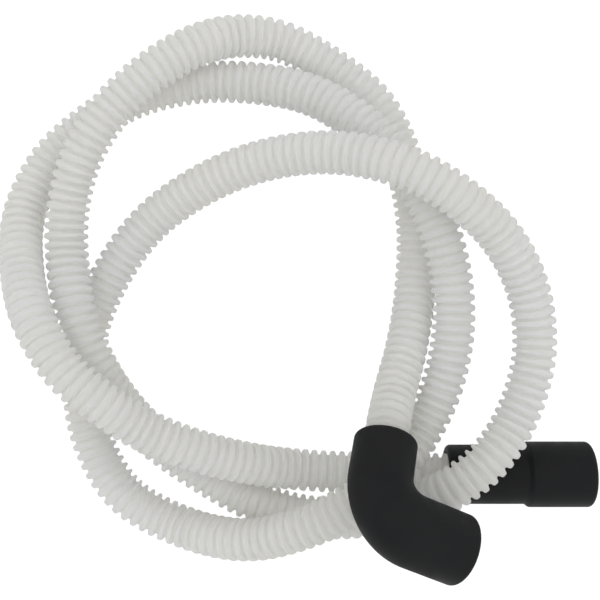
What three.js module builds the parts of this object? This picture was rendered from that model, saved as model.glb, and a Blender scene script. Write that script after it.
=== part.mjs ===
// A drain hose: one blow-moulded corrugated tube lying in three loose loops, with a moulded rubber cuff
// pushed over each end, one straight and one bent through a right angle.
// Units are millimetres and +Z is up. The hose lies on a floor at z = 0, and the origin is the point of
// that floor under the middle of the two cuffs.

import * as THREE from "three";

// Hose: its crest diameter, and the bore that its valleys leave.
const hoseDiameter = 22;
const hoseBore = 16;
const hoseSides = 12;

// Cuffs: what slides into each end, and the rubber round it.
const hoseClearance = 0.3; // all round the hose, and at its tip
const spigotDiameter = 25.4; // the one-inch outlet or inlet that a wide end slides over
const spigotClearance = 0.2; // all round the spigot
const cuffWall = 4.1;
const throatBore = 17; // the narrow waist between the two bores
const rimRadius = 2.4; // on the outer edge of each mouth
const lipRadius = 0.5; // on the inner edge of each mouth

// Straight cuff: a narrow end over the hose, a short shoulder, and a wide end for the spigot.
const straightInsertion = 27; // how far the hose goes in
const straightNarrowLength = 40;
const straightShoulderLength = 3;
const straightWideLength = 32.6;
const straightSpigotDepth = 30;

// Elbow cuff: a narrow leg over the hose, a bend in which it widens, and a wide leg for the spigot.
const elbowInsertion = 18.7;
const elbowNarrowLength = 19;
const elbowBendRadius = 21; // of the centreline
const elbowBendAngle = 90; // degrees
const elbowWideLength = 26.6;
const elbowSpigotDepth = 25;
const elbowRoll = -18.3; // degrees that the wide leg is turned down about the hose's end, from level

const cuffSides = 48;
const bendRows = 12; // rows of faces round the elbow's bend
const rimRows = 4; // rows of faces round each rounded edge

// Sizes that follow from those.
const socketRadius = hoseDiameter / 2 + hoseClearance;
const spigotRadius = spigotDiameter / 2 + spigotClearance;
const throatRadius = throatBore / 2;
const narrowRadius = socketRadius + cuffWall;
const wideRadius = spigotRadius + cuffWall;

// The route of the hose's centreline, from its tip in the straight cuff to its tip in the elbow cuff.
// The straight cuff lies on the floor, so the first two points are at the height of its axis.
const axisHeight = wideRadius;
const route = [
  [17, 4, axisHeight], [-14, 4, axisHeight], [-34, 4, 12.5], [-63, 4, 11.1],
  [-90, 6, 13.5], [-115.5, 11.5, 25], [-142.5, 20.5, 35.5], [-165, 31, 42],
  [-184, 45, 49.5], [-202.5, 62, 52.3], [-218.5, 86.5, 48], [-229, 115, 32.5],
  [-231, 142, 20], [-220, 169, 13.5], [-198, 190.5, 11.1], [-174.5, 204, 11.1],
  [-142.5, 211.5, 11.3], [-110, 210.5, 14.5], [-80.5, 202.5, 22], [-55, 185.5, 29.5],
  [-35.5, 166, 33.5], [-20, 140, 35], [-11, 111, 34.5], [-9, 80.5, 33],
  [-14.5, 52, 31.5], [-25, 29.5, 32], [-38.5, 12.5, 38.2], [-56, -2.5, 43.5],
  [-83, -18, 38.5], [-115.5, -28, 26.5], [-151, -24, 13], [-180, -8, 11.1],
  [-196, 17, 11.1], [-202.5, 45, 11.1], [-200.5, 77, 11.1], [-188.5, 107.5, 11.3],
  [-166, 137, 15], [-133, 158, 24], [-99, 168, 35], [-67, 168.5, 46.5],
  [-37.5, 160.5, 56], [-13, 147.5, 56.5], [11, 127.5, 50], [26.5, 101, 43],
  [30.5, 70.5, 40], [22, 40, 42.5], [6.5, 17, 46], [-12.5, 1.5, 43.5],
  [-35, -10.5, 29.6], [-60, -18.5, 18.5], [-85, -19, 12], [-111, -11.5, 11.1],
  [-137.5, 3, 11.2], [-164, 22, 13], [-181.5, 43, 21.5], [-193, 66, 32],
  [-202, 93.5, 33.5], [-207, 122.5, 28.5], [-205.5, 147, 29.5], [-198, 170, 32.5],
  [-184.5, 191, 34], [-162, 212.5, 33], [-139, 227.5, 27.5], [-119.5, 234, 20],
  [-97.5, 233, 14], [-71, 220, 11.3], [-46.5, 199.5, 11.1], [-31.5, 169, 11.1],
  [-25, 136, 12], [-26.5, 101, 17.5], [-32, 72.5, 28], [-39.5, 49.5, 41],
  [-44, 35, 53.6], [-49, 14, 69.1],
];

const points = route.map((p) => new THREE.Vector3(...p));
const hosePath = new THREE.CatmullRomCurve3(points, false, "centripetal");

const hoseMaterial = new THREE.MeshStandardMaterial({
  color: 0xd3d6cc,
  roughness: 0.45,
  metalness: 0,
});
const rubberMaterial = new THREE.MeshStandardMaterial({
  color: 0x232426,
  roughness: 0.62,
  metalness: 0,
});

// The corners of a regular polygon round the origin.
function polygon(radius, sides) {
  return Array.from({ length: sides }, (_, i) => {
    const angle = (2 * Math.PI * i) / sides;
    return new THREE.Vector2(radius * Math.cos(angle), radius * Math.sin(angle));
  });
}

// The hose as a plain hollow tube along its route. One step of the sweep is as long as the stretch
// inside the straight cuff, so that stretch stays straight.
function hoseTube() {
  const section = new THREE.Shape(polygon(hoseDiameter / 2, hoseSides));
  section.holes.push(new THREE.Path(polygon(hoseBore / 2, hoseSides)));
  const steps = Math.round(hosePath.getLength() / straightInsertion);
  return new THREE.ExtrudeGeometry(section, { steps, extrudePath: hosePath });
}

// A quarter circle from angle a to angle b, in degrees, in the plane of radius and height.
function corner(radius, height, size, a, b) {
  return Array.from({ length: rimRows + 1 }, (_, i) => {
    const angle = THREE.MathUtils.degToRad(a + ((b - a) * i) / rimRows);
    return new THREE.Vector2(radius + size * Math.cos(angle), height + size * Math.sin(angle));
  });
}

// Points at equal heights on the line from a radius and height to another, without its ends.
function between(from, to, rows) {
  return Array.from({ length: rows - 1 }, (_, i) => {
    const share = (i + 1) / rows;
    return new THREE.Vector2(
      from[0] + (to[0] - from[0]) * share,
      from[1] + (to[1] - from[1]) * share,
    );
  });
}

// The wall of a cuff as a closed outline of radius against height, from its narrow end at height 0
// to its wide end. It widens from widenFrom to widenTo. The rows there let the elbow bend.
function cuffOutline({ length, insertion, spigotDepth, widenFrom, widenTo, rows }) {
  const socketFloor = insertion + hoseClearance;
  const spigotFloor = length - spigotDepth;
  const throat = [
    [throatRadius, Math.max(spigotFloor, widenTo)],
    [throatRadius, Math.max(socketFloor, widenFrom)],
  ];
  return [
    ...corner(narrowRadius - rimRadius, rimRadius, rimRadius, -90, 0),
    new THREE.Vector2(narrowRadius, widenFrom),
    ...between([narrowRadius, widenFrom], [wideRadius, widenTo], rows),
    new THREE.Vector2(wideRadius, widenTo),
    ...corner(wideRadius - rimRadius, length - rimRadius, rimRadius, 0, 90),
    ...corner(spigotRadius + lipRadius, length - lipRadius, lipRadius, 90, 180),
    new THREE.Vector2(spigotRadius, spigotFloor),
    new THREE.Vector2(throatRadius, spigotFloor),
    ...between(...throat, rows),
    new THREE.Vector2(throatRadius, socketFloor),
    new THREE.Vector2(socketRadius, socketFloor),
    ...corner(socketRadius + lipRadius, lipRadius, lipRadius, 180, 270),
    new THREE.Vector2(narrowRadius - rimRadius, 0),
  ];
}

// A cuff turned from its outline round the Y axis, with its narrow mouth at the origin.
function turned(outline) {
  return new THREE.LatheGeometry(outline, cuffSides);
}

// Bends a shape that stands along +Y: what is above the height start follows an arc of the bend
// radius towards +X through the angle, and goes straight on from there.
function bend(geometry, start, radius, angle) {
  const position = geometry.getAttribute("position");
  const p = new THREE.Vector3();
  for (let i = 0; i < position.count; i++) {
    p.fromBufferAttribute(position, i);
    const along = Math.max(0, p.y - start);
    const turn = Math.min(along / radius, angle);
    const beyond = along - radius * turn;
    const reach = radius - p.x;
    position.setXY(
      i,
      radius - reach * Math.cos(turn) + beyond * Math.sin(turn),
      Math.min(p.y, start) + reach * Math.sin(turn) + beyond * Math.cos(turn),
    );
  }
  return geometry;
}

// Puts a cuff on the hose: its +Y points into the cuff along the hose, its +X towards side.
function fitted(mesh, tip, inward, side, insertion) {
  const x = side.clone().addScaledVector(inward, -side.dot(inward)).normalize();
  const z = new THREE.Vector3().crossVectors(x, inward);
  mesh.quaternion.setFromRotationMatrix(new THREE.Matrix4().makeBasis(x, inward, z));
  mesh.position.copy(tip).addScaledVector(inward, -insertion);
  return mesh;
}

function named(name, geometry, material) {
  const mesh = new THREE.Mesh(geometry, material);
  mesh.name = name;
  return mesh;
}

function hose() {
  return named("hose", hoseTube(), hoseMaterial);
}

function straightCuff() {
  const outline = cuffOutline({
    length: straightNarrowLength + straightShoulderLength + straightWideLength,
    insertion: straightInsertion,
    spigotDepth: straightSpigotDepth,
    widenFrom: straightNarrowLength,
    widenTo: straightNarrowLength + straightShoulderLength,
    rows: 1,
  });
  const inward = points[0].clone().sub(points[1]).normalize();
  const up = new THREE.Vector3(0, 0, 1);
  const mesh = named("straight_cuff", turned(outline), rubberMaterial);
  return fitted(mesh, points[0], inward, up, straightInsertion);
}

function elbowCuff() {
  const angle = THREE.MathUtils.degToRad(elbowBendAngle);
  const bendEnd = elbowNarrowLength + elbowBendRadius * angle;
  const outline = cuffOutline({
    length: bendEnd + elbowWideLength,
    insertion: elbowInsertion,
    spigotDepth: elbowSpigotDepth,
    widenFrom: elbowNarrowLength,
    widenTo: bendEnd,
    rows: bendRows,
  });
  const geometry = bend(turned(outline), elbowNarrowLength, elbowBendRadius, angle);
  const inward = points.at(-1).clone().sub(points.at(-2)).normalize();
  const level = new THREE.Vector3().crossVectors(new THREE.Vector3(0, 0, 1), inward).normalize();
  const side = level.applyAxisAngle(inward, THREE.MathUtils.degToRad(elbowRoll));
  const mesh = named("elbow_cuff", geometry, rubberMaterial);
  return fitted(mesh, points.at(-1), inward, side, elbowInsertion);
}

const drainHose = new THREE.Group();
drainHose.add(hose(), straightCuff(), elbowCuff());

export default drainHose;
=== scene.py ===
import math

import bpy
import numpy as np
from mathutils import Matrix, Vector


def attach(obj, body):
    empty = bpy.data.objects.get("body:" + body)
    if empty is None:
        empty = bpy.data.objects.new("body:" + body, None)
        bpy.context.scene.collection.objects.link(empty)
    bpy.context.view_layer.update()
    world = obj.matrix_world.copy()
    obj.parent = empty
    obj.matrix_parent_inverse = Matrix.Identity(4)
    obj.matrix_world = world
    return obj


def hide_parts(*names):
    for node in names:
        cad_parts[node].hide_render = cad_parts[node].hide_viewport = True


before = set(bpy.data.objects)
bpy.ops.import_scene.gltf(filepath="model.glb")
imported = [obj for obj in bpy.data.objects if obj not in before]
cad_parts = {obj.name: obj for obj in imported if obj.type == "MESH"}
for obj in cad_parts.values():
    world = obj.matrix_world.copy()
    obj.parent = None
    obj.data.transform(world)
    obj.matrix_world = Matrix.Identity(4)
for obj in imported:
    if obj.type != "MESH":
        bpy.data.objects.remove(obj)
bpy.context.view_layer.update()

millimetresInMetre = 1000
print("stage: frame loaded")

# Camera

viewFromAbove = {
    "place": (-0.087, 0.0958, 0.489),  # straight above the heap, looking down
    "lens": 53.7,  # millimetres, as the sensor
    "sensor": 36.0,
    "nearest": 0.01,
}


# A camera at its place, unturned, so it looks straight down with +Y at the top of the picture.
def makeCamera(spec):
    data = bpy.data.cameras.new("camera")
    data.lens = spec["lens"]
    data.sensor_width = spec["sensor"]
    data.clip_start = spec["nearest"]
    camera = bpy.data.objects.new("camera", data)
    camera.location = spec["place"]
    bpy.context.scene.collection.objects.link(camera)
    bpy.context.scene.camera = camera


makeCamera(viewFromAbove)
print("stage: camera")


# Mesh from a grid: each face joins four neighbours of a rows by columns grid, and both ways close
# on their first line, so the grid makes one ring-shaped skin without edges.
def closedGridFaces(rows, columns):
    row = np.arange(rows)[:, None]
    column = np.arange(columns)[None, :]
    nextRow = (row + 1) % rows
    nextColumn = (column + 1) % columns
    corners = [row * columns + column, nextRow * columns + column,
               nextRow * columns + nextColumn, row * columns + nextColumn]
    return np.stack(np.broadcast_arrays(*corners), -1).reshape(-1, 4)


# An object at the origin with its place in its mesh, all smooth but for edges past the sharp angle.
def meshObject(name, points, faces, material, uv=None, sharpAngle=None):
    mesh = bpy.data.meshes.new(name)
    mesh.from_pydata(points.tolist(), [], faces.tolist())
    mesh.polygons.foreach_set("use_smooth", np.ones(len(faces), dtype=bool))
    if uv is not None:
        layer = mesh.uv_layers.new(name="alongAndRound")
        layer.data.foreach_set("uv", uv.astype(np.float32).ravel())
    if sharpAngle is not None:
        mesh.set_sharp_from_angle(angle=math.radians(sharpAngle))
    mesh.materials.append(material)
    mesh.update()
    piece = bpy.data.objects.new(name, mesh)
    bpy.context.scene.collection.objects.link(piece)
    return piece


# Shader parts

# A number that a group takes in, with its usual value.
def socketIn(group, name, value):
    socket = group.interface.new_socket(name=name, in_out="INPUT", socket_type="NodeSocketFloat")
    socket.default_value = value


# Moulded surface: soft patches and fine grain, two noises of different size over the object's own
# coordinates.
def makeMouldedGroup():
    patchDetail, grainDetail = 2.0, 4.0
    group = bpy.data.node_groups.new("mouldedSurface", "ShaderNodeTree")
    socketIn(group, "Patch Scale", 20.0)
    socketIn(group, "Grain Scale", 900.0)
    group.interface.new_socket(name="Patches", in_out="OUTPUT", socket_type="NodeSocketFloat")
    group.interface.new_socket(name="Grain", in_out="OUTPUT", socket_type="NodeSocketFloat")
    nodes, links = group.nodes, group.links
    inside, outside = nodes.new("NodeGroupInput"), nodes.new("NodeGroupOutput")
    place = nodes.new("ShaderNodeTexCoord")
    for scale, result, detail in (("Patch Scale", "Patches", patchDetail),
                                  ("Grain Scale", "Grain", grainDetail)):
        noise = nodes.new("ShaderNodeTexNoise")
        noise.inputs["Detail"].default_value = detail
        links.new(place.outputs["Object"], noise.inputs["Vector"])
        links.new(inside.outputs[scale], noise.inputs["Scale"])
        links.new(noise.outputs["Fac"], outside.inputs[result])
    return group


mouldedGroup = makeMouldedGroup()


# A new material, with its nodes, its links and its surface shader.
def newMaterial(name):
    material = bpy.data.materials.new(name)
    material.use_nodes = True
    nodes, links = material.node_tree.nodes, material.node_tree.links
    return material, nodes, links, nodes["Principled BSDF"]


# First times (1 - share) plus second times the share. Either is a fixed colour or another node's.
def blended(nodes, links, share, first, second):
    mix = nodes.new("ShaderNodeMix")
    mix.data_type = "RGBA"
    links.new(share, mix.inputs["Factor"])
    for socket, colour in ((mix.inputs["A"], first), (mix.inputs["B"], second)):
        if isinstance(colour, tuple):
            socket.default_value = (*colour, 1.0)
        else:
            links.new(colour, socket)
    return mix.outputs["Result"]


# The value's way from one range to another, level outside it and smooth at both ends.
def ranged(nodes, links, value, start, end):
    spread = nodes.new("ShaderNodeMapRange")
    spread.interpolation_type = "SMOOTHSTEP"
    spread.inputs["From Min"].default_value, spread.inputs["From Max"].default_value = start
    spread.inputs["To Min"].default_value, spread.inputs["To Max"].default_value = end
    links.new(value, spread.inputs["Value"])
    return spread.outputs["Result"]


# The moulded group at this look's scales: its patches are returned for the colour, and drive the
# roughness. Its grain is the bump.
def moulded(nodes, links, shader, look):
    group = nodes.new("ShaderNodeGroup")
    group.node_tree = mouldedGroup
    group.inputs["Patch Scale"].default_value = look["patchScale"]
    group.inputs["Grain Scale"].default_value = look["grainScale"]
    patches = ranged(nodes, links, group.outputs["Patches"], look["patchEdges"], (0.0, 1.0))
    roughness = ranged(nodes, links, patches, (0.0, 1.0), look["roughness"])
    links.new(roughness, shader.inputs["Roughness"])
    bump = nodes.new("ShaderNodeBump")
    bump.inputs["Distance"].default_value = look["grainHeight"]
    bump.inputs["Strength"].default_value = look["grainStrength"]
    links.new(group.outputs["Grain"], bump.inputs["Height"])
    links.new(bump.outputs["Normal"], shader.inputs["Normal"])
    return patches, bump.outputs["Normal"]


# Hose: one corrugated tube on the route that the CAD hose takes

hoseSpec = {
    "crestRadius": 0.0110,  # metres, as all sizes here
    "valleyRadius": 0.0086,
    "wall": 0.0006,
    "pitch": 0.0050,
    "sides": 20,
    # one corrugation: distance from its crest's middle, and share of the way up from the valley
    "profile": ((-0.00190, 0.03), (-0.00155, 0.34), (-0.00120, 0.76), (-0.00075, 0.96), (0.0, 1.0),
                (0.00075, 0.96), (0.00120, 0.76), (0.00155, 0.34), (0.00190, 0.03)),
    "valleyStiffness": 0.85,  # 1 where a valley keeps its width in a bend, 0 where it stretches
    "stretchLimits": (0.6, 1.5),  # of one side of a bend against the centreline
    "bendSmoothing": 15,  # points of the line, whose turning is averaged over them
    "exit": (-0.0100, 0.0040, 0.0170),  # where the hose leaves the straight cuff
}

routeMillimetres = (
    (17, 4, 17), (-14, 4, 17), (-34, 4, 12.5), (-63, 4, 11.1),
    (-90, 6, 13.5), (-115.5, 11.5, 25), (-142.5, 20.5, 35.5), (-165, 31, 42),
    (-184, 45, 49.5), (-202.5, 62, 52.3), (-218.5, 86.5, 48), (-229, 115, 32.5),
    (-231, 142, 20), (-220, 169, 13.5), (-198, 190.5, 11.1), (-174.5, 204, 11.1),
    (-142.5, 211.5, 11.3), (-110, 210.5, 14.5), (-80.5, 202.5, 22), (-55, 185.5, 29.5),
    (-35.5, 166, 33.5), (-20, 140, 35), (-11, 111, 34.5), (-9, 80.5, 33),
    (-14.5, 52, 31.5), (-25, 29.5, 32), (-38.5, 12.5, 38.2), (-56, -2.5, 43.5),
    (-83, -18, 38.5), (-115.5, -28, 26.5), (-151, -24, 13), (-180, -8, 11.1),
    (-196, 17, 11.1), (-202.5, 45, 11.1), (-200.5, 77, 11.1), (-188.5, 107.5, 11.3),
    (-166, 137, 15), (-133, 158, 24), (-99, 168, 35), (-67, 168.5, 46.5),
    (-37.5, 160.5, 56), (-13, 147.5, 56.5), (11, 127.5, 50), (26.5, 101, 43),
    (30.5, 70.5, 40), (22, 40, 42.5), (6.5, 17, 46), (-12.5, 1.5, 43.5),
    (-35, -10.5, 29.6), (-60, -18.5, 18.5), (-85, -19, 12), (-111, -11.5, 11.1),
    (-137.5, 3, 11.2), (-164, 22, 13), (-181.5, 43, 21.5), (-193, 66, 32),
    (-202, 93.5, 33.5), (-207, 122.5, 28.5), (-205.5, 147, 29.5), (-198, 170, 32.5),
    (-184.5, 191, 34), (-162, 212.5, 33), (-139, 227.5, 27.5), (-119.5, 234, 20),
    (-97.5, 233, 14), (-71, 220, 11.3), (-46.5, 199.5, 11.1), (-31.5, 169, 11.1),
    (-25, 136, 12), (-26.5, 101, 17.5), (-32, 72.5, 28), (-39.5, 49.5, 41),
    (-44, 35, 53.6), (-49, 14, 69.1),
)
route = np.array(routeMillimetres, dtype=float) / millimetresInMetre


# A smooth curve through the points: each span is a cubic whose end slopes come from the neighbours,
# weighted by the square root of the distances. The ends go on straight.
def smoothLine(points, perSpan=40):
    padded = np.concatenate([[2 * points[0] - points[1]], points, [2 * points[-1] - points[-2]]])
    p0, p1, p2, p3 = padded[:-3], padded[1:-2], padded[2:-1], padded[3:]
    step = np.sqrt(np.linalg.norm(np.diff(padded, axis=0), axis=1))[:, None]
    t0, t1, t2 = step[:-2], step[1:-1], step[2:]
    slope1 = t1 * ((p1 - p0) / t0 - (p2 - p0) / (t0 + t1) + (p2 - p1) / t1)
    slope2 = t1 * ((p2 - p1) / t1 - (p3 - p1) / (t1 + t2) + (p3 - p2) / t2)
    square = -3 * p1 + 3 * p2 - 2 * slope1 - slope2
    cube = 2 * p1 - 2 * p2 + slope1 + slope2
    t = np.linspace(0, 1, perSpan, endpoint=False)[None, :, None]
    line = p1[:, None] + slope1[:, None] * t + square[:, None] * t**2 + cube[:, None] * t**3
    return np.concatenate([line.reshape(-1, 3), points[-1:]])


# Length from the start at each point of a line: the running sum of its steps.
def alongLine(line):
    return np.concatenate([[0.0], np.cumsum(np.linalg.norm(np.diff(line, axis=0), axis=1))])


# The rows of values at the given lengths along the line, interpolated.
def at(where, lengths, values):
    return np.stack([np.interp(where, lengths, values[:, k]) for k in range(values.shape[1])], -1)


# Each vector over its own length.
def unit(vectors):
    return vectors / np.linalg.norm(vectors, axis=-1, keepdims=True)


# At each point of the line: the level direction across it, the direction square to that and to the
# tangent, and how fast the tangent turns, which points at the centre of the bend.
def lineFrame(points, smoothing):
    length = alongLine(points)
    tangent = unit(np.gradient(points, length, axis=0))
    across = unit(np.cross(tangent, (0.0, 0.0, 1.0)))
    upward = np.cross(across, tangent)
    turning = np.gradient(tangent, length, axis=0)
    even = np.ones(smoothing) / smoothing
    turning = np.stack([np.convolve(turning[:, k], even, "same") for k in range(3)], -1)
    return length, across, upward, turning


# For each ring along the hose: its corrugation's middle, its distance from there, and its radius.
# The outer wall runs forward with the whole profile, and the inner wall runs back as a zigzag.
def hoseRings(spec, total):
    count = round(total / spec["pitch"])
    pitch = total / count
    crest = (np.arange(count) + 0.5) * pitch
    profile = np.array(spec["profile"])
    inside = spec["valleyRadius"] - spec["wall"]
    rise = spec["crestRadius"] - spec["valleyRadius"]
    outerRadius = spec["valleyRadius"] + rise * np.tile(profile[:, 1], count)
    innerRadius = np.tile([inside, inside + rise], count)
    outerCentre, innerCentre = np.repeat(crest, len(profile)), np.repeat(crest[::-1], 2)
    outerOffset, innerOffset = np.tile(profile[:, 0], count), np.tile([pitch / 2, 0.0], count)
    centre = np.concatenate([[0.0], outerCentre, innerCentre, [0.0]])
    offset = np.concatenate([[0.0], outerOffset, innerOffset, [0.0]])
    radius = np.concatenate([[spec["valleyRadius"]], outerRadius, innerRadius, [inside]])
    return centre, offset, radius, count


# Ring points on circles round the line. In a bend the valleys keep their width, and the crests
# widen on the outside and narrow on the inside: a ring's distance from its crest grows with the
# stretch of its side, as far as the stiffness says.
def hosePoints(spec, line):
    length, across, upward, turning = lineFrame(line, spec["bendSmoothing"])
    centre, offset, radius, count = hoseRings(spec, length[-1])
    angle = np.linspace(0, 2 * np.pi, spec["sides"], endpoint=False)[None, :, None]
    where = centre + offset
    outward = at(where, length, across)[:, None] * np.cos(angle)
    outward = outward + at(where, length, upward)[:, None] * np.sin(angle)
    towardsCentre = (outward * at(where, length, turning)[:, None]).sum(-1)
    stretch = np.clip(1 - towardsCentre * radius[:, None], *spec["stretchLimits"])
    shifted = centre[:, None] + offset[:, None] * (1 + spec["valleyStiffness"] * (1 - 1 / stretch))
    outward = at(shifted, length, across) * np.cos(angle)
    outward = outward + at(shifted, length, upward) * np.sin(angle)
    points = at(shifted, length, line) + unit(outward) * radius[:, None, None]
    outerRows = 1 + np.argmax(where)
    return points, where, at(where[:outerRows], length, line), count


# Number of corrugations from the start against the share of the way round, for each face corner.
def hoseUv(corrugations, sides):
    rows = len(corrugations)
    row = np.arange(rows)[:, None]
    column = np.arange(sides)[None, :]
    nextAlong = corrugations[(row + 1) % rows]
    along = [corrugations[row], nextAlong, nextAlong, corrugations[row]]
    around = [column / sides, column / sides, (column + 1) / sides, (column + 1) / sides]
    corners = [np.stack(np.broadcast_arrays(a, b), -1) for a, b in zip(along, around)]
    return np.stack(corners, 2).reshape(-1, 2)


hoseLook = {
    "colour": (0.900, 0.898, 0.877),
    "patchColour": (0.891, 0.892, 0.893),
    # painted light: a whiter colour in the valleys and on their flanks, against the shade that
    # falls in them
    "valleyPaintedLightColour": (0.995, 0.994, 0.981),
    "paintedLightEdges": (0.20, 0.40),  # in corrugations from the valley's middle
    "patchScale": 14.0,
    "patchEdges": (0.35, 0.65),
    "grainScale": 700.0,
    "grainHeight": 0.00010,
    "grainStrength": 0.20,
    "roughness": (0.42, 0.55),
    "shine": 0.20,
    "throughShare": 0.78,  # of the light that passes the thin wall
}


# Milky wall: part of the light passes through it, spread, and the rest is a plain moulded surface.
# Painted light: the valleys and their flanks are coloured whiter, which cancels the shade that
# falls in them.
def makeHoseMaterial(look):
    material, nodes, links, shader = newMaterial("milkyTube")
    patches, normal = moulded(nodes, links, shader, look)
    halfCorrugation = 0.5
    alongAndRound = nodes.new("ShaderNodeUVMap")
    alongAndRound.uv_map = "alongAndRound"
    parts = nodes.new("ShaderNodeSeparateXYZ")
    links.new(alongAndRound.outputs["UV"], parts.inputs["Vector"])
    fromValley = nodes.new("ShaderNodeMath")
    fromValley.operation = "PINGPONG"  # the whole numbers are valleys
    fromValley.inputs[1].default_value = halfCorrugation
    links.new(parts.outputs["X"], fromValley.inputs[0])
    # share of the painted light in the valleys, which cancels their shade
    valley = ranged(nodes, links, fromValley.outputs[0], look["paintedLightEdges"], (1.0, 0.0))
    crestColour = blended(nodes, links, patches, look["colour"], look["patchColour"])
    colour = blended(nodes, links, valley, crestColour, look["valleyPaintedLightColour"])
    links.new(colour, shader.inputs["Base Color"])
    shader.inputs["Specular IOR Level"].default_value = look["shine"]
    through = nodes.new("ShaderNodeBsdfTranslucent")
    links.new(colour, through.inputs["Color"])
    links.new(normal, through.inputs["Normal"])
    wall = nodes.new("ShaderNodeMixShader")
    wall.inputs["Fac"].default_value = look["throughShare"]
    links.new(shader.outputs[0], wall.inputs[1])
    links.new(through.outputs[0], wall.inputs[2])
    links.new(wall.outputs[0], nodes["Material Output"].inputs["Surface"])
    return material


# The rings of the hose as one closed skin: out along the outer wall and back along the inner one.
def makeHose(spec, look):
    points, where, path, count = hosePoints(spec, smoothLine(route))
    total = where.max()
    rows, sides = points.shape[:2]
    faces = closedGridFaces(rows, sides)
    piece = meshObject("corrugated_hose", points.reshape(-1, 3), faces, makeHoseMaterial(look),
                       uv=hoseUv(where * count / total, sides))
    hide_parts("hose")
    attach(piece, "root")
    print("stage: hose", len(faces), "faces", count, "corrugations", round(total, 4), "m")
    return piece, path, total


hose, hosePath, hoseLength = makeHose(hoseSpec, hoseLook)

# Cuffs: the CAD cuffs' outline with finer rows, turned round and, on the elbow, bent

rubberSpec = {
    "socketRadius": 11.3,  # millimetres, as all sizes of the cuffs
    "spigotRadius": 12.9,
    "throatRadius": 8.5,
    "narrowRadius": 15.4,
    "wideRadius": 17.0,
    "rimRadius": 2.4,
    "lipRadius": 0.5,
    "sides": 96,
    "rimRows": 8,
    "bendRows": 40,
    "sharpAngle": 38,
}
straightSpec = {
    "insertion": 27.0,
    "clearance": 0.3,
    "length": 75.6,
    "spigotDepth": 30.0,
    "widenFrom": 40.0,
    "widenTo": 43.0,
}
elbowSpec = {
    "insertion": 18.7,
    "clearance": 0.3,
    "narrowLength": 19.0,
    "bendRadius": 21.0,
    "bendAngle": 90.0,
    "wideLength": 26.6,
    "spigotDepth": 25.0,
    "roll": -18.3,
}


# An arc of that size round a middle at radius and height, from one angle to the other.
def corner(radius, height, size, start, end, rows):
    angle = np.radians(np.linspace(start, end, rows + 1))
    return np.stack([radius + size * np.cos(angle), height + size * np.sin(angle)], 1)


# Points at equal shares of the way from the start to the end.
def straightRun(start, end, rows):
    share = np.linspace(0, 1, rows + 1)[:, None]
    return np.array(start) * (1 - share) + np.array(end) * share


# A run whose radius swells softly from the start to the end, as a half wave.
def eased(start, end, rows):
    share = np.linspace(0, 1, rows + 1)[:, None]
    swell = np.concatenate([(1 - np.cos(np.pi * share)) / 2, share], 1)
    return np.array(start) * (1 - swell) + np.array(end) * swell


# Radius against height of the cuff's wall, once round it from the narrow rim to the wide one and
# back through the bores.
def cuffOutline(rubber, cuff):
    rim, lip, rows = rubber["rimRadius"], rubber["lipRadius"], rubber["rimRows"]
    narrow, wide = rubber["narrowRadius"], rubber["wideRadius"]
    socket, spigot, throat = rubber["socketRadius"], rubber["spigotRadius"], rubber["throatRadius"]
    socketFloor = cuff["insertion"] + cuff["clearance"]
    spigotFloor = cuff["length"] - cuff["spigotDepth"]
    bendRows, floorRows = rubber["bendRows"], 2
    outline = np.concatenate([
        corner(narrow - rim, rim, rim, -90, 0, rows),
        eased((narrow, cuff["widenFrom"]), (wide, cuff["widenTo"]), bendRows),
        corner(wide - rim, cuff["length"] - rim, rim, 0, 90, rows),
        corner(spigot + lip, cuff["length"] - lip, lip, 90, 180, rows),
        straightRun((spigot, spigotFloor), (throat, spigotFloor), floorRows),
        straightRun((throat, min(spigotFloor, cuff["widenTo"])), (throat, socketFloor), bendRows),
        straightRun((socket, socketFloor), (socket, lip), floorRows)[:-1],
        corner(socket + lip, lip, lip, 180, 270, rows),
    ])
    sameSpot = 1e-6
    apart = np.linalg.norm(np.diff(outline, axis=0, append=outline[:1]), axis=1) > sameSpot
    return outline[apart]


# The outline carried once round +Y: x is the radius times the sine, z the radius times the cosine.
def turned(outline, sides):
    angle = np.linspace(0, 2 * np.pi, sides, endpoint=False)
    radius, height = outline[:, 0, None], outline[:, 1, None]
    return np.stack(np.broadcast_arrays(
        radius * np.sin(angle), height + 0 * angle, radius * np.cos(angle)), -1)


# What stands above the start follows an arc of the bend radius towards +X and goes straight on.
def bent(points, start, radius, angle):
    x, y, z = points[..., 0], points[..., 1], points[..., 2]
    along = np.maximum(0, y - start)
    turn = np.minimum(along / radius, angle)
    beyond = along - radius * turn
    reach = radius - x
    return np.stack([radius - reach * np.cos(turn) + beyond * np.sin(turn),
                     np.minimum(y, start) + reach * np.sin(turn) + beyond * np.cos(turn), z], -1)


# The cuff's own +Y laid along the hose's end, its +X towards the side, its mouth short of the tip.
def fitted(points, tip, inward, side, insertion):
    x = unit(side - side @ inward * inward)
    z = np.cross(x, inward)
    place = tip * millimetresInMetre - inward * insertion
    points = place + points[..., :1] * x + points[..., 1:2] * inward + points[..., 2:] * z
    return points / millimetresInMetre


rubberLook = {
    "colour": (0.0080, 0.0084, 0.0092),
    "patchColour": (0.0105, 0.0108, 0.0115),
    "patchScale": 45.0,
    "patchEdges": (0.35, 0.65),
    "grainScale": 2600.0,
    "grainHeight": 0.00006,
    "grainStrength": 0.35,
    "roughness": (0.55, 0.68),
    "shine": 0.10,
}


# Matt black rubber: two near colours in soft patches under a fine grain.
def makeRubberMaterial(look):
    material, nodes, links, shader = newMaterial("blackRubber")
    patches = moulded(nodes, links, shader, look)[0]
    links.new(blended(nodes, links, patches, look["colour"], look["patchColour"]),
              shader.inputs["Base Color"])
    shader.inputs["Specular IOR Level"].default_value = look["shine"]
    return material


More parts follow.
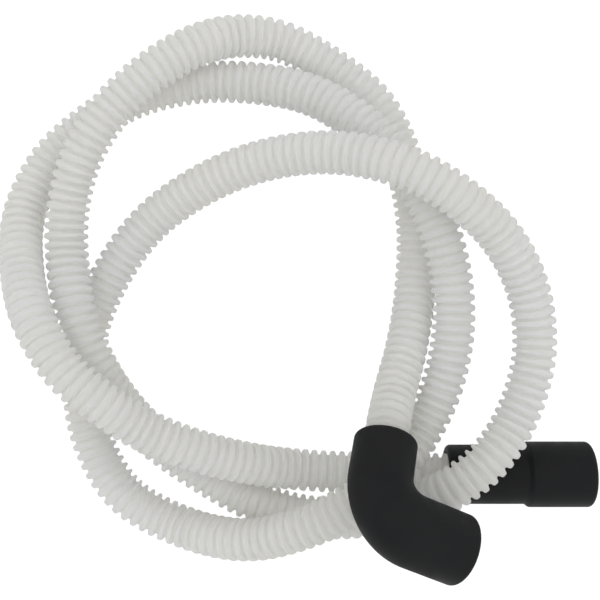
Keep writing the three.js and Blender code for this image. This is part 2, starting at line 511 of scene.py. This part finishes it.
# A cuff's rings as one closed skin, in place of its CAD node.
def makeCuff(name, node, points, rubber, material):
    rows, sides = points.shape[:2]
    faces = closedGridFaces(rows, sides)[:, ::-1]
    piece = meshObject(name, points.reshape(-1, 3), faces, material,
                       sharpAngle=rubber["sharpAngle"])
    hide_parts(node)
    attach(piece, "root")
    print("stage:", name, len(faces), "faces")


# The turned outline on the hose's first end.
def makeStraightCuff(rubber, cuff, material):
    points = turned(cuffOutline(rubber, cuff), rubber["sides"])
    inward = unit(route[0] - route[1])
    points = fitted(points, route[0], inward, np.array([0.0, 0.0, 1.0]), cuff["insertion"])
    makeCuff("straight_rubber_cuff", "straight_cuff", points, rubber, material)


# The turned outline, widening all along its bend, on the hose's last end. Its wide leg is turned
# down from level by the roll.
def makeElbowCuff(rubber, cuff, material):
    bend = math.radians(cuff["bendAngle"])
    bendEnd = cuff["narrowLength"] + cuff["bendRadius"] * bend
    sized = dict(cuff, length=bendEnd + cuff["wideLength"], widenFrom=cuff["narrowLength"],
                 widenTo=bendEnd)
    points = bent(turned(cuffOutline(rubber, sized), rubber["sides"]),
                  cuff["narrowLength"], cuff["bendRadius"], bend)
    inward = unit(route[-1] - route[-2])
    level = unit(np.cross((0.0, 0.0, 1.0), inward))
    roll = math.radians(cuff["roll"])
    side = level * math.cos(roll) + np.cross(inward, level) * math.sin(roll)
    points = fitted(points, route[-1], inward, side, cuff["insertion"])
    makeCuff("elbow_rubber_cuff", "elbow_cuff", points, rubber, material)


rubberMaterial = makeRubberMaterial(rubberLook)
makeStraightCuff(rubberSpec, straightSpec, rubberMaterial)
makeElbowCuff(rubberSpec, elbowSpec, rubberMaterial)

# Floor, world and lamps

studio = {
    "floorSize": 6.0,
    "floorColour": (0.94, 0.94, 0.93),
    "floorRoughness": 0.9,
    "glow": 0.95,  # with the shadow share it makes the floor white to the camera
    "shadowShare": 0.15,
    "worldLight": 1.20,  # what falls on things, where the camera sees the world at 1
    "lamps": (  # place, size, power, the point that it faces
        ((-0.55, 0.60, 1.10), 0.8, 1.0, (-0.09, 0.10, 0.0)),
        ((0.55, 0.45, 1.00), 0.7, 0.6, (-0.05, 0.08, 0.0)),
        ((0.05, -0.80, 0.90), 0.9, 0.5, (-0.09, 0.10, 0.0)),
    ),
}


# One for camera, glossy and transmission rays, zero for the light that falls on things.
def seenDirectly(nodes, links):
    path = nodes.new("ShaderNodeLightPath")
    total = path.outputs["Is Camera Ray"]
    for name in ("Is Glossy Ray", "Is Transmission Ray"):
        either = nodes.new("ShaderNodeMath")
        either.operation = "MAXIMUM"
        links.new(total, either.inputs[0])
        links.new(path.outputs[name], either.inputs[1])
        total = either.outputs[0]
    return total


# A square floor: a plain pale surface to the light, and a glow with a share of the light that falls
# on it to the camera, so it looks white and keeps the shadow.
def makeFloor(spec):
    material, nodes, links, shader = newMaterial("paleFloor")
    shader.inputs["Base Color"].default_value = (*spec["floorColour"], 1.0)
    shader.inputs["Roughness"].default_value = spec["floorRoughness"]
    glow = nodes.new("ShaderNodeEmission")
    glow.inputs["Strength"].default_value = spec["glow"]
    dim = nodes.new("ShaderNodeBsdfDiffuse")
    share = spec["shadowShare"]
    dim.inputs["Color"].default_value = (share, share, share, 1.0)
    seen = nodes.new("ShaderNodeAddShader")
    links.new(glow.outputs[0], seen.inputs[0])
    links.new(dim.outputs[0], seen.inputs[1])
    pick = nodes.new("ShaderNodeMixShader")
    links.new(seenDirectly(nodes, links), pick.inputs["Fac"])
    links.new(shader.outputs[0], pick.inputs[1])
    links.new(seen.outputs[0], pick.inputs[2])
    links.new(pick.outputs[0], nodes["Material Output"].inputs["Surface"])
    half = spec["floorSize"] / 2
    corners = np.array([(-1, -1, 0), (1, -1, 0), (1, 1, 0), (-1, 1, 0)]) * half
    floor = meshObject("floor", corners, np.array([[0, 1, 2, 3]]), material)


# An even white world, at its own strength for light and at 1 where it is seen.
def makeWorld(spec):
    world = bpy.data.worlds.new("studioWorld")
    bpy.context.scene.world = world
    world.use_nodes = True
    nodes, links = world.node_tree.nodes, world.node_tree.links
    background = nodes["Background"]
    background.inputs["Color"].default_value = (1, 1, 1, 1)
    strength = nodes.new("ShaderNodeMapRange")
    strength.inputs["To Min"].default_value = spec["worldLight"]
    strength.inputs["To Max"].default_value = 1.0
    links.new(seenDirectly(nodes, links), strength.inputs["Value"])
    links.new(strength.outputs["Result"], background.inputs["Strength"])


# Soft square lamps round the heap, each turned to its point.
def makeLamps(spec):
    for number, (place, size, power, target) in enumerate(spec["lamps"]):
        data = bpy.data.lights.new("softbox_%d" % number, "AREA")
        data.size = size
        data.energy = power
        lamp = bpy.data.objects.new(data.name, data)
        lamp.location = place
        lamp.rotation_euler = (Vector(target) - Vector(place)).to_track_quat("-Z", "Y").to_euler()
        lamp.visible_camera = False
        bpy.context.scene.collection.objects.link(lamp)


makeFloor(studio)
makeWorld(studio)
makeLamps(studio)
bpy.context.scene.view_settings.view_transform = "Standard"
print("stage: studio")
